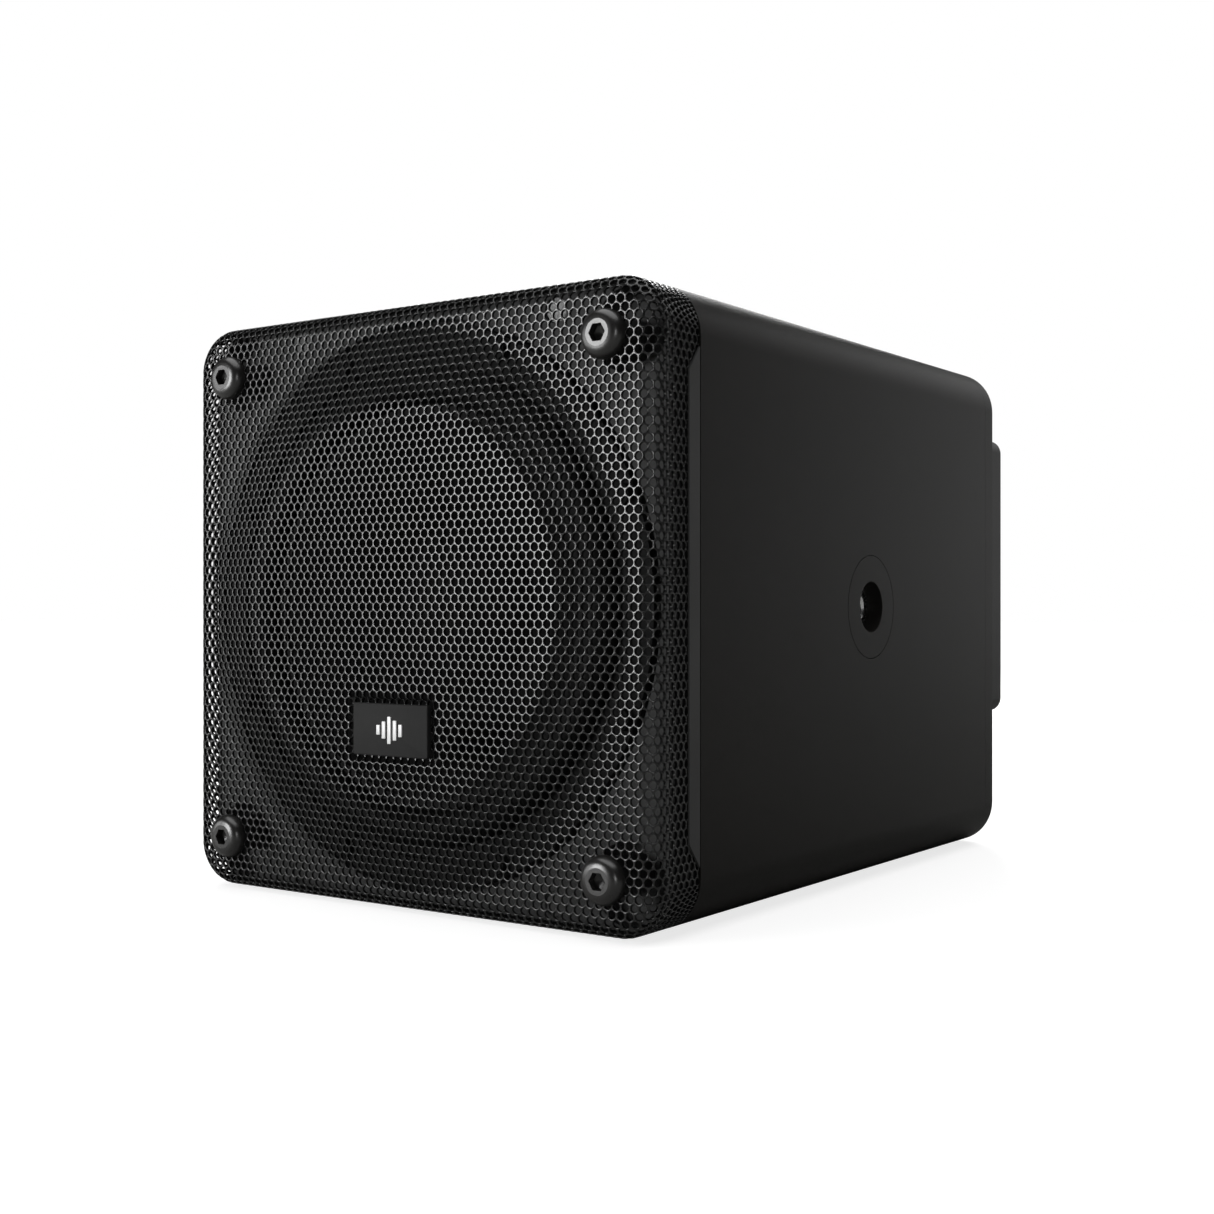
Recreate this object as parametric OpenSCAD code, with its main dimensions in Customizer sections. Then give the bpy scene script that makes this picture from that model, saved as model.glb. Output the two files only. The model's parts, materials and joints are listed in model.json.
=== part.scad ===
// Compact powered subwoofer: a 9-inch driver behind a dished perforated grille,
// in a round-edged tube cabinet with a finned amplifier on its back.
// +X is right, +Y is back and +Z is up; the front faces -Y.
// Inside the modules y is counted from the grille's flat rim and z from the base.

/* [Cabinet] */
// Width and height of the square cabinet
body_w = 250; // [246:1:260]
// Radius of the four long edges
edge_r = 22; // [18:1:24]
// Wall of the cabinet tube
wall = 5; // [4:0.5:6]
// Front end of the cabinet tube
tube_front = 30.5; // [30:0.5:32]
// Length of the cabinet tube
tube_length = 285.2; // [280:0.1:320]
// Thickness of the rear panel
rear_panel_t = 9.5; // [8:0.5:12]
// Distance of the closing screws from the outer faces
port_inset = 9; // [8.5:0.5:10]
// Sideways pitch of the closing screws
port_pitch = 70; // [60:1:75]

/* [Side inserts] */
// Distance of the mounting inserts behind the grille rim
insert_y = 178.5; // [170:0.5:190]
// Diameter of the flush insert disc
insert_d = 46.8; // [44:0.2:48]
// Diameter of the recess in the disc
recess_d = 23; // [22:0.5:24]
// Depth of the recess
recess_depth = 7.2; // [7:0.2:10]
// Diameter of the thread
thread_d = 10; // [8:2:12]
// Length of the threaded bush
bush_length = 18; // [16:1:20]

/* [Grille] */
// Sheet thickness of the grille
grille_t = 1.2; // [1:0.1:1.5]
// Step between the cabinet side and the grille side
grille_inset = 0.6; // [0.5:0.1:1.2]
// Radius of the grille's corners, seen from the front
grille_corner_r = 19.4; // [18:0.1:20]
// Radius of the bend between front and flange
grille_bend_r = 7.5; // [6:0.5:10]
// Back edge of the flange in the middle of each side
flange_mid = 22.2; // [21:0.1:23]
// Half length of the shallow part of the flange
flange_mid_half = 89.5; // [84:0.5:92]
// Outer radius of the pressed relief
relief_outer_r = 113.5; // [112:0.5:115]
// Radius of the raised disc
relief_inner_r = 82.5; // [80:0.5:85]
// Height of the raised disc over the rim
relief_rise = 6; // [5:0.5:6.5]
// Spacing of the corner screws, across and up
grille_screw_pitch = 203.5; // [202:0.5:204]
// Diameter of the button heads
button_d = 19.2; // [18:0.2:21]
// Height of the button heads
button_h = 5.3; // [4.5:0.1:5.6]
// Hexagon socket of the button heads
button_hex = 6.3; // [5:0.1:7]

/* [Badge] */
// Width of the badge plate
badge_w = 40.6; // [38:0.2:43]
// Height of the badge plate
badge_h = 21.4; // [18:0.2:22]
// Distance of the badge below mid-height
badge_drop = 50; // [46:1:54]

/* [Driver] */
// Outer radius of the driver frame
frame_r = 117.5; // [117:0.5:118]
// Radius of the ring of driver screws
driver_screw_r = 111; // [110.5:0.5:111]
// Front face of the driver frame
frame_front = 14; // [14:0.5:15]
// Outer radius of the cone
cone_r = 84; // [82:1:84]
// Radius of the voice coil former
former_r = 25.3; // [25:0.1:25.4]
// Radius of the dust cap
cap_r = 38; // [34:1:40]
// Radius of the ring magnet
magnet_r = 75; // [72:1:76]

/* [Amplifier] */
// Width of the heat sink
sink_w = 240; // [230:1:240]
// Height of the heat sink
sink_h = 147.6; // [130:0.2:148]
// Lower edge of the heat sink
sink_bottom = 68.2; // [68:0.2:80]
// Depth of the heat sink with its gasket
sink_depth = 24.8; // [20:0.2:30]
// Number of fins
fin_count = 23; // [15:2:27]
// Width of the control plate
plate_w = 216; // [210:1:220]
// Height of the control plate
plate_h = 50; // [48:1:52]
// Middle height of the control plate
plate_z = 41; // [40.5:0.5:41.5]

/* [Hidden] */
$fn = 64;
eps = 0.01;
gap = 0.2;

body_h = body_w;
mid_z = body_h / 2;
tube_back = tube_front + tube_length;
rear_face = tube_back + rear_panel_t;
sink_back = rear_face + sink_depth;
plateau_front = -relief_rise;
badge_face = plateau_front - 0.8;
badge_floor = plateau_front + 1.4;
pocket_w = badge_w + 4;
pocket_h = badge_h + 4;
emblem_face = badge_face - 0.5;
// Moves the rim plane so that the origin lies under the middle of the whole depth.
rim_y = -(sink_back + emblem_face) / 2;

inner_w = body_w - 2 * wall;
inner_h = body_h - 2 * wall;
inner_r = edge_r - wall;
port_r = 6;
port_screw_r = 2.5;

grille_w = body_w - 2 * grille_inset;
grille_h = body_h - 2 * grille_inset;
core_w = grille_w - 2 * grille_t - 0.8;
core_h = grille_h - 2 * grille_t - 0.8;
core_r = grille_corner_r - grille_t - 0.4;
baffle_front = 12;
baffle_recess_r = 119;
step_length = 11.8;
step_depth = tube_front + 1 - flange_mid;
seam = 0.5;
pocket_r = 16.5;
pocket_floor = 22;
grille_shank_r = 4.95;
grille_insert_r = 7;
grille_shank_end = 36;

seat_y = frame_front + 5;
basket_r = 104;
surround_outer = 100;
roll_mid = (cone_r + surround_outer) / 2;
roll_r = (surround_outer - cone_r) / 2;
rubber_t = 1.2;
cone_depth = 36;
cone_t = 1.4;
cone_rim = 5;
neck_y = frame_front + cone_depth;
cap_rise = 13;
cap_t = 0.9;
former_t = 0.5;
former_end = 96;
coil_r = former_r + 1.3;
coil_from = 72;
spider_y = 62;
ledge_r = 78;
ledge_inner = 67;
plate_front = 80;
plate_back = 88;
magnet_back = 106;
yoke_back = 116;
plate_r = 62;
pole_r = 24;
terminal_z = 85;

sink_gasket_t = 1;
sink_base = 6;
sink_corner_r = 7.5;
fin_t = 3;
sink_mid_z = sink_bottom + sink_h / 2;
bay_w = 196;
bay_h = 112;
board_back = 306;
board_t = 1.6;
board_front = board_back - board_t;
board_w = 88;
board_h = 136;
board_x = 46;

plate_t = 2;
plate_back_y = rear_face + plate_t;
window_w = 196;
window_h = 34;
input_x = -86;
link_x = -58;
gain_x = -32;
crossover_x = -9;
switch_x = 13;
switch_z = plate_z - 9;
led_z = plate_z + 11;
rocker_x = 33;
inlet_x = 73;
socket_flange_t = 2;
socket_r = 11.8;
inlet_flange_t = 3;
blade_pitch = 7;
knob_r = 9;
knob_front = plate_back_y + 3;
knob_back = knob_front + 13;
shaft_r = 2.95;
bushing_bore_r = 3;
lever_travel = 4;
rocker_tilt = 8;
rocker_pivot_y = plate_back_y - 3;

// ---- shared shapes ----

// A flat outline in x and z, made into a slab between two depths.
module slab(from, to) {
    translate([0, to, 0]) rotate([90, 0, 0]) linear_extrude(to - from) children();
}

// A profile of [radius, y] turned about the driver's axis.
module turned() {
    translate([0, 0, mid_z]) rotate([-90, 0, 0]) rotate_extrude($fn = 128) children();
}

// A round bar along y.
module bar(from, to, r) {
    translate([0, from, 0]) rotate([-90, 0, 0]) cylinder(h = to - from, r = r);
}

// A round bar along x.
module cross_bar(from, to, r) {
    translate([from, 0, 0]) rotate([0, 90, 0]) cylinder(h = to - from, r = r);
}

module round_rect(w, h, r) {
    square([w - 2 * r, h], center = true);
    square([w, h - 2 * r], center = true);
    for (x = [-1, 1], z = [-1, 1])
        translate([x * (w / 2 - r), z * (h / 2 - r)]) circle(r);
}

module at_mid_height() {
    translate([0, 0, mid_z]) children();
}

// Four copies at the centres of the grille's corner bends.
module at_corners() {
    for (x = [-1, 1], z = [-1, 1])
        translate([x * (grille_w / 2 - grille_corner_r), 0, mid_z + z * (grille_h / 2 - grille_corner_r)])
            children();
}

// Four copies at the corner screws.
module at_grille_screws() {
    for (x = [-1, 1], z = [-1, 1])
        translate([x * grille_screw_pitch / 2, 0, mid_z + z * grille_screw_pitch / 2]) children();
}

// Copies at the screw ports along the top and bottom of the tube.
module at_ports(columns) {
    for (x = columns, z = [port_inset, body_h - port_inset])
        translate([x * port_pitch, 0, z]) children();
}

module at_front_ports() at_ports([-1, 1]) children();
module at_rear_ports() at_ports([-1, 0, 1]) children();

// The outline of the ports' ribs, in x and z about mid-height.
module port_ribs(r) {
    for (x = [-1, 0, 1], z = [-1, 1])
        translate([x * port_pitch, z * (body_h / 2 - port_inset)]) circle(r);
}

// Eight copies round the driver frame.
module at_driver_screws() {
    for (a = [22.5:45:337.5])
        translate([driver_screw_r * cos(a), 0, mid_z + driver_screw_r * sin(a)]) children();
}

// A pan-head screw whose head rises from y = 0 towards -y.
module front_screw(head_r, head_h, shank_r, length) {
    bar(-head_h, 0, head_r);
    bar(-eps, length, shank_r);
}

// A socket-head screw seen from behind: the head rises from y = 0 towards +y.
module rear_screw(head_r, head_h, shank_r, length, hex) {
    difference() {
        bar(0, head_h, head_r);
        translate([0, head_h * 0.4, 0]) rotate([-90, 0, 0])
            cylinder(h = head_h, r = hex / sqrt(3), $fn = 6);
    }
    bar(-length, eps, shank_r);
}

// ---- cabinet ----

module cabinet_shell() {
    color([0.15, 0.15, 0.15])
    difference() {
        slab(tube_front, tube_back) translate([0, mid_z]) difference() {
            round_rect(body_w, body_h, edge_r);
            difference() {
                round_rect(inner_w, inner_h, inner_r);
                port_ribs(port_r);
            }
        }
        at_front_ports() bar(tube_front - 1, tube_front + 25, port_screw_r);
        at_rear_ports() bar(tube_back - 25, tube_back + 1, port_screw_r);
        for (x = [-1, 1])
            translate([x * body_w / 2, insert_y, mid_z])
                cross_bar(-wall - 1, wall + 1, insert_d / 2 + gap);
    }
}

// Half width, at depth y, of the notch that the grille's flange leaves on each side.
function notch_half(y) = flange_mid_half + (y - flange_mid) * step_length / step_depth;

// These four bars fill the notches in the grille's flange and stop short of the tube.
module baffle_side_bar() {
    front = flange_mid + gap;
    back = tube_front - seam;
    translate([0, 0, body_h / 2 - 3]) linear_extrude(3)
        polygon([
            [-notch_half(front) + 2 * gap, front], [notch_half(front) - 2 * gap, front],
            [notch_half(back) - 2 * gap, back], [-notch_half(back) + 2 * gap, back]
        ]);
}

module front_baffle() {
    color([0.32, 0.32, 0.33])
    difference() {
        union() {
            slab(baffle_front, tube_front) translate([0, mid_z]) round_rect(core_w, core_h, core_r);
            at_mid_height() for (a = [0:90:270]) rotate([0, a, 0]) baffle_side_bar();
            slab(tube_front - eps, tube_front + 8) translate([0, mid_z]) difference() {
                round_rect(inner_w - 2 * gap, inner_h - 2 * gap, inner_r - gap);
                port_ribs(port_r + gap);
            }
        }
        at_mid_height() bar(baffle_front - 1, seat_y, baffle_recess_r);
        at_mid_height() bar(seat_y - 1, tube_front + 9, basket_r + 0.5);
        at_driver_screws() bar(seat_y - 1, tube_front + 9, 2.5);
        at_corners() bar(baffle_front - 1, pocket_floor, pocket_r);
        at_grille_screws() bar(pocket_floor - 1, tube_front + 9, grille_insert_r);
        at_front_ports() bar(baffle_front - 1, baffle_front + 4, 5.2);
        at_front_ports() bar(baffle_front, tube_front + 9, 2.7);
    }
}

module baffle_screws() {
    color([0.2, 0.2, 0.2])
        at_front_ports() translate([0, baffle_front + 4, 0]) front_screw(4.8, 3.2, 2.4, 36);
}

module rear_panel() {
    color([0.15, 0.15, 0.15])
    difference() {
        slab(tube_back, rear_face) translate([0, mid_z]) round_rect(body_w, body_h, edge_r);
        slab(tube_back - 1, rear_face + 1) translate([0, sink_mid_z]) square([bay_w, bay_h], center = true);
        slab(tube_back - 1, rear_face + 1) translate([0, plate_z]) square([window_w, window_h], center = true);
        at_rear_ports() bar(tube_back - 1, rear_face + 1, 2.7);
        at_sink_screws() bar(tube_back - 1, rear_face + 1, 2.05);
        at_plate_screws() bar(tube_back - 1, rear_face + 1, 1.55);
    }
}

module rear_panel_screws() {
    color([0.12, 0.12, 0.12])
        at_rear_ports() translate([0, rear_face, 0]) rear_screw(4.7, 2.8, 2.4, 24, 3);
}

// A ring of board that stiffens the tube and carries the two side inserts.
module cabinet_brace() {
    brace_half = 12.5;
    color([0.68, 0.55, 0.38])
    difference() {
        slab(insert_y - brace_half, insert_y + brace_half) translate([0, mid_z]) difference() {
            round_rect(inner_w, inner_h, inner_r);
            round_rect(inner_w - 40, inner_h - 40, 14);
            port_ribs(port_r + gap);
        }
        for (x = [-1, 1])
            translate([x * (inner_w / 2 - 10), insert_y, mid_z]) cross_bar(-11, 11, 17);
    }
}

module damping_lining() {
    felt_t = 8;
    felt_from = insert_y + 18;
    felt_length = 100;
    color([0.75, 0.75, 0.72]) {
        for (x = [-inner_w / 2, inner_w / 2 - felt_t])
            translate([x, felt_from, 30]) cube([felt_t, felt_length, body_h - 60]);
        for (x = [-1, 1], z = [wall, body_h - wall - felt_t])
            translate([x * port_pitch / 2 - 26, felt_from, z]) cube([52, felt_length, felt_t]);
    }
}

// ---- side mounting inserts ----

// Drawn for the right side; the left one is its mirror image.
module side_insert() {
    color([0.13, 0.13, 0.13])
    translate([0, insert_y, mid_z])
    difference() {
        union() {
            cross_bar(inner_w / 2, body_w / 2, insert_d / 2);
            cross_bar(inner_w / 2 - 20, inner_w / 2 + eps, 17 - 0.05);
        }
        cross_bar(body_w / 2 - recess_depth, body_w / 2 + 1, recess_d / 2);
        cross_bar(inner_w / 2 - 21, body_w / 2, recess_d / 2 - 0.5);
    }
}

module threaded_bush() {
    bush_out = body_w / 2 - recess_depth;
    bush_r = recess_d / 2 - 0.55;
    color([0.75, 0.75, 0.76])
    translate([0, insert_y, mid_z])
    difference() {
        union() {
            cross_bar(bush_out - bush_length, bush_out - 1.5, bush_r);
            translate([bush_out - 1.5, 0, 0]) rotate([0, 90, 0])
                cylinder(h = 1.5, r1 = bush_r, r2 = bush_r - 1.5);
        }
        cross_bar(bush_out - bush_length - 1, bush_out + 1, thread_d / 2);
    }
}

module side_insert_right() side_insert();
module side_insert_left() mirror([1, 0, 0]) side_insert();
module threaded_bush_right() threaded_bush();
module threaded_bush_left() mirror([1, 0, 0]) threaded_bush();

// ---- grille ----

// A solid block with round corners and a round front edge, shrunk by s on every side.
module grille_block(s, back) {
    corner = grille_corner_r - s;
    bend = grille_bend_r - s;
    hull()
        at_corners() translate([0, s, 0]) rotate([-90, 0, 0]) rotate_extrude($fn = 32)
            polygon([
                [0, 0],
                for (a = [-90:15:0]) [corner - bend + bend * cos(a), bend + bend * sin(a)],
                [corner, back - s], [0, back - s]
            ]);
}

// The cone band and the raised disc, shifted back by s.
module relief(s) {
    translate([0, s - relief_rise, mid_z]) rotate([-90, 0, 0])
        cylinder(h = relief_rise + eps, r1 = relief_inner_r, r2 = relief_outer_r, $fn = 128);
}

// Cuts the flange short in the middle of one side, with sloping ends.
module flange_notch() {
    back = tube_front + 1;
    translate([0, 0, grille_h / 2 - 6]) linear_extrude(8)
        polygon([
            [-notch_half(flange_mid), flange_mid], [notch_half(flange_mid), flange_mid],
            [notch_half(back), back], [-notch_half(back), back]
        ]);
}

module grille() {
    color([0.18, 0.18, 0.18])
    difference() {
        union() {
            difference() {
                union() {
                    grille_block(0, tube_front - gap);
                    relief(0);
                }
                grille_block(grille_t, tube_front + 1);
                relief(grille_t);
            }
            // Shallow pocket that holds the badge
            slab(plateau_front + eps, badge_floor + grille_t) translate([0, mid_z - badge_drop])
                square([pocket_w + 2 * grille_t, pocket_h + 2 * grille_t], center = true);
        }
        at_mid_height() for (a = [0:90:270]) rotate([0, a, 0]) flange_notch();
        at_grille_screws() bar(-1, grille_t + 1, 5.4);
        slab(plateau_front - 1, badge_floor) translate([0, mid_z - badge_drop])
            square([pocket_w, pocket_h], center = true);
    }
}

module grille_screws() {
    crown = button_d * 0.27;
    color([0.14, 0.14, 0.14])
    at_grille_screws() {
        difference() {
            intersection() {
                bar(-button_h, 0, button_d / 2);
                translate([0, -button_h, 0]) rotate([-90, 0, 0])
                    rotate_extrude() polygon([
                        [0, 0], [crown, 0],
                        for (a = [75:-15:0]) [crown + (button_d / 2 - crown) * cos(a), button_h * (1 - 0.94 * sin(a))],
                        [button_d / 2, button_h], [0, button_h]
                    ]);
            }
            translate([0, -button_h - 1, 0]) rotate([-90, 0, 0])
                cylinder(h = 4.6, r = button_hex / sqrt(3), $fn = 6);
        }
        bar(-eps, grille_shank_end, grille_shank_r);
    }
}

module grille_spacers() {
    color([0.08, 0.08, 0.08])
    at_grille_screws() difference() {
        bar(grille_t, pocket_floor, 8);
        bar(0, pocket_floor + 1, 5.2);
    }
}

module screw_inserts() {
    color([0.78, 0.62, 0.3])
    at_grille_screws() difference() {
        bar(pocket_floor, tube_front + 7, grille_insert_r - 0.05);
        bar(pocket_floor - 1, tube_front + 8, 5);
    }
}

// ---- badge ----

// The plate stands on the floor of the grille's shallow pocket.
module badge_plate() {
    color([0.2, 0.2, 0.21])
    translate([0, 0, mid_z - badge_drop])
        slab(badge_face, badge_floor) round_rect(badge_w, badge_h, 0.6);
}

// A plain level-meter mark: upright bars that rise and fall again.
module badge_emblem() {
    bar_heights = [4, 7, 11, 8, 5];
    bar_w = 1.8;
    bar_pitch = 3;
    color([0.86, 0.86, 0.86])
    translate([0, 0, mid_z - badge_drop])
        for (i = [0:len(bar_heights) - 1])
            slab(emblem_face, badge_face)
                translate([(i - (len(bar_heights) - 1) / 2) * bar_pitch, 0])
                    square([bar_w, bar_heights[i]], center = true);
}

// ---- driver ----

module driver_basket() {
    color([0.2, 0.2, 0.2])
    difference() {
        union() {
            turned() polygon([
                [surround_outer, frame_front], [frame_r, frame_front], [frame_r, seat_y],
                [basket_r, seat_y], [ledge_r, spider_y], [ledge_r, spider_y + 3],
                [ledge_r - 2, spider_y + 3], [plate_r + 2, plate_front], [34, plate_front],
                [34, plate_front - 3], [plate_r - 0.5, plate_front - 3], [ledge_r - 8, spider_y + 3],
                [ledge_inner, spider_y + 3], [ledge_inner, spider_y], [ledge_r - 3, spider_y],
                [surround_outer, seat_y]
            ]);
            // Lug for the terminals
            translate([-14, spider_y, mid_z + ledge_r - 3]) cube([28, 3, 20]);
        }
        at_driver_screws() bar(frame_front - 1, seat_y + 1, 2.7);
        // Six windows between the arms
        at_mid_height() for (a = [30:60:330])
            rotate([0, a, 0]) translate([62, seat_y + 5, -30]) cube([50, 28, 60]);
    }
}

module driver_gasket() {
    color([0.1, 0.1, 0.1])
    difference() {
        turned() polygon([
            [basket_r + gap, frame_front - 3], [frame_r - 1, frame_front - 3],
            [frame_r - 1, frame_front], [basket_r + gap, frame_front]
        ]);
        at_driver_screws() bar(frame_front - 4, frame_front + 1, 2.7);
    }
}

module driver_screws() {
    color([0.1, 0.1, 0.1])
        at_driver_screws() translate([0, frame_front - 3, 0]) front_screw(4.4, 2.8, 2.4, 26);
}

module surround() {
    color([0.07, 0.07, 0.07]) {
        turned() union() {
            intersection() {
                translate([roll_mid, frame_front]) difference() {
                    circle(roll_r, $fn = 64);
                    circle(roll_r - rubber_t, $fn = 64);
                }
                translate([cone_r - 1, frame_front - roll_r - 1])
                    square([2 * roll_r + 2, roll_r + 1]);
            }
            translate([surround_outer - rubber_t / 2, frame_front - rubber_t])
                square([basket_r - surround_outer + rubber_t / 2, rubber_t]);
            translate([cone_r - 4, frame_front - rubber_t]) square([4 + rubber_t / 2, rubber_t]);
        }
    }
}

module cone() {
    color([0.1, 0.1, 0.11])
    turned() polygon([
        [former_r, neck_y], [cone_r - cone_rim, frame_front], [cone_r, frame_front],
        [cone_r, frame_front + cone_t], [cone_r - cone_rim + 0.5, frame_front + cone_t],
        [former_r, neck_y + cone_t + 0.4]
    ]);
}

module dust_cap() {
    dome_r = (cap_r * cap_r + cap_rise * cap_rise) / (2 * cap_rise);
    // The rim touches the cone where the cone has the cap's radius.
    rim = neck_y - (cap_r - former_r) / (cone_r - cone_rim - former_r) * cone_depth - 0.05;
    color([0.09, 0.09, 0.09])
    at_mid_height() intersection() {
        translate([0, rim - cap_rise + dome_r, 0]) difference() {
            sphere(dome_r, $fn = 128);
            sphere(dome_r - cap_t, $fn = 128);
        }
        bar(rim - cap_rise - 1, rim, cap_r + 1);
    }
}

module voice_coil_former() {
    color([0.7, 0.6, 0.35])
    at_mid_height() difference() {
        bar(neck_y - 4, former_end, former_r);
        bar(neck_y - 5, former_end + 1, former_r - former_t);
    }
}

module voice_coil() {
    color([0.75, 0.42, 0.2])
    at_mid_height() difference() {
        bar(coil_from, former_end, coil_r);
        bar(coil_from - 1, former_end + 1, former_r);
    }
}

// The corrugated centring ring, with a flat lip that is glued to the basket's ledge.
module spider() {
    spider_r = 74;
    waves = 5;
    steps = 40;
    cloth_t = 1;
    height = 1.6;
    span = ledge_inner - 0.5 - former_r;
    function wave(i) = height * sin(360 * waves * i / steps) * sin(180 * i / steps);
    color([0.8, 0.65, 0.35])
    turned() polygon([
        for (i = [0:steps]) [former_r + span * i / steps, spider_y - cloth_t - wave(i)],
        [spider_r, spider_y - cloth_t], [spider_r, spider_y],
        for (i = [steps:-1:0]) [former_r + span * i / steps, spider_y - wave(i)]
    ]);
}

module top_plate() {
    color([0.6, 0.6, 0.62])
    turned() translate([coil_r + 0.8, plate_front])
        square([plate_r - coil_r - 0.8, plate_back - plate_front]);
}

module ring_magnet() {
    color([0.24, 0.24, 0.25])
    turned() translate([32, plate_back]) square([magnet_r - 32, magnet_back - plate_back]);
}

module pole_yoke() {
    vent_r = 9;
    color([0.6, 0.6, 0.62])
    turned() polygon([
        [vent_r, plate_front], [pole_r, plate_front], [pole_r, magnet_back],
        [magnet_r - 6, magnet_back], [magnet_r - 8, yoke_back], [vent_r, yoke_back]
    ]);
}

module magnet_cover() {
    cover_t = 2.5;
    color([0.08, 0.08, 0.08])
    turned() polygon([
        [magnet_r + gap, plate_back + 2], [magnet_r + gap + cover_t, plate_back + 2],
        [magnet_r + gap + cover_t, yoke_back + gap + cover_t], [20, yoke_back + gap + cover_t],
        [20, yoke_back + gap], [magnet_r + gap, yoke_back + gap]
    ]);
}

module driver_terminals() {
    color([0.75, 0.65, 0.4])
    translate([0, spider_y + 3, mid_z + terminal_z]) {
        translate([-12, 0, -4]) cube([24, 3, 9]);
        for (x = [-7, 7])
            translate([x - 2.4, 3 - eps, 0]) cube([4.8, 8, 0.8]);
    }
}

module speaker_wires() {
    wire_r = 1.4;
    start = spider_y + 3 + 11.2;
    color([0.6, 0.1, 0.1])
    for (x = [-7, 7])
        translate([x, 0, mid_z + terminal_z - 4]) {
            bar(start, board_front - 8, wire_r);
            translate([-2.6, start - 5, 2.2]) cube([5.2, 5, 1.6]);
            translate([-0.8, start - 5, -1]) cube([1.6, 5, 3.3]);
            translate([-3, board_front - 8, -3]) cube([6, 8, 6]);
        }
}

// ---- amplifier ----

module at_sink_screws() {
    for (x = [-1, 1], z = [-1, 1])
        translate([x * (sink_w / 2 - 12), 0, sink_mid_z + z * (sink_h / 2 - 10)]) children();
    for (z = [-1, 1])
        translate([0, 0, sink_mid_z + z * (sink_h / 2 - 10)]) children();
}

module heat_sink() {
    base_front = rear_face + sink_gasket_t;
    fin_pitch = (sink_w - 8) / (fin_count + 1);
    color([0.13, 0.13, 0.13])
    difference() {
        union() {
            slab(base_front, base_front + sink_base)
                translate([0, sink_mid_z]) round_rect(sink_w, sink_h, sink_corner_r);
            // Outer frame round the fins
            slab(base_front + sink_base - eps, sink_back) translate([0, sink_mid_z]) difference() {
                round_rect(sink_w, sink_h, sink_corner_r);
                square([sink_w - 8, sink_h + 1], center = true);
            }
            for (i = [1:fin_count])
                translate([-sink_w / 2 + 4 + i * fin_pitch - fin_t / 2, base_front + sink_base - eps, sink_bottom])
                    cube([fin_t, sink_back - base_front - sink_base, sink_h]);
        }
        at_sink_screws() bar(base_front + sink_base, sink_back + 1, 7);
        at_sink_screws() bar(rear_face, sink_back, 2.2);
    }
}

module sink_gasket() {
    color([0.05, 0.05, 0.05])
    difference() {
        slab(rear_face, rear_face + sink_gasket_t) translate([0, sink_mid_z]) difference() {
            round_rect(sink_w - 4, sink_h - 4, sink_corner_r);
            square([bay_w + 4, bay_h + 4], center = true);
        }
        at_sink_screws() bar(rear_face - 1, rear_face + 2, 2.4);
    }
}

module sink_screws() {
    color([0.4, 0.4, 0.4])
    at_sink_screws() translate([0, rear_face + sink_gasket_t + sink_base, 0])
        rear_screw(3.8, 3, 2, 15, 3);
}

// An aluminium bar that carries the heat of the power devices to the sink.
module heat_spreader() {
    color([0.78, 0.78, 0.8])
    translate([-80, board_back, sink_mid_z - 48])
        cube([160, rear_face + sink_gasket_t - board_back, 12]);
}

module board_standoffs() {
    color([0.75, 0.7, 0.5])
    for (x = [-1, 1], dx = [-38, 38], z = [-30, 44])
        translate([x * board_x + dx, 0, sink_mid_z + z])
            bar(board_back, rear_face + sink_gasket_t, 3);
}

// A circuit board with low chips on its front side; s is -1 for left and 1 for right.
module circuit_board(s) {
    translate([s * board_x - board_w / 2, board_front, sink_mid_z - board_h / 2])
        cube([board_w, board_t, board_h]);
    for (x = [-30, -10, 14], z = [-34, 30])
        translate([s * board_x + x, board_front - 3, sink_mid_z + z])
            cube([12, 3 + eps, 8]);
}

module amplifier_board() color([0.1, 0.35, 0.18]) circuit_board(-1);
module power_supply_board() color([0.1, 0.3, 0.16]) circuit_board(1);

module capacitors() {
    color([0.12, 0.14, 0.3])
    for (x = [-1, 1], i = [0, 1])
        translate([x * board_x - 28 + i * 24, 0, sink_mid_z]) bar(board_front - 32, board_front, 10.5);
}

module power_transformer() {
    color([0.75, 0.65, 0.2]) {
        translate([board_x + 12, board_front - 26, sink_mid_z - 14]) cube([28, 26, 30]);
        translate([board_x + 8, board_front - 20, sink_mid_z - 8]) cube([36, 14, 18]);
    }
}

module output_coils() {
    color([0.7, 0.4, 0.15])
    for (z = [-10, 14])
        translate([-board_x + 26, 0, sink_mid_z + z]) difference() {
            bar(board_front - 12, board_front, 11);
            bar(board_front - 13, board_front + 1, 4);
        }
}

// ---- control plate ----

module at_plate_screws() {
    for (x = [-1, 0, 1], z = [-1, 1])
        translate([x * (plate_w / 2 - 4.5), 0, plate_z + z * (plate_h / 2 - 4)]) children();
}

module control_plate() {
    color([0.11, 0.11, 0.11])
    difference() {
        slab(rear_face, plate_back_y) translate([0, plate_z]) round_rect(plate_w, plate_h, 3);
        for (x = [input_x, link_x])
            translate([x, 0, plate_z]) bar(rear_face - 1, plate_back_y + 1, socket_r + gap);
        translate([input_x - 5, rear_face - 1, plate_z + 11]) cube([10, plate_t + 2, 4.4]);
        for (x = [gain_x, crossover_x])
            translate([x, 0, plate_z]) bar(rear_face - 1, plate_back_y + 1, 4.3);
        translate([switch_x - 5.5, rear_face - 1, switch_z - 2]) cube([11, plate_t + 2, 4]);
        translate([switch_x, 0, led_z]) bar(rear_face - 1, plate_back_y + 1, 2.6);
        translate([rocker_x - 6.7, rear_face - 1, plate_z - 9.7]) cube([13.4, plate_t + 2, 19.4]);
        translate([inlet_x - 14, rear_face - 1, plate_z - 10.2]) cube([28, plate_t + 2, 20.4]);
        at_plate_screws() bar(rear_face - 1, plate_back_y + 1, 1.8);
        at_socket_screws() bar(rear_face - 1, plate_back_y + 1, 1.35);
    }
}

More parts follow.
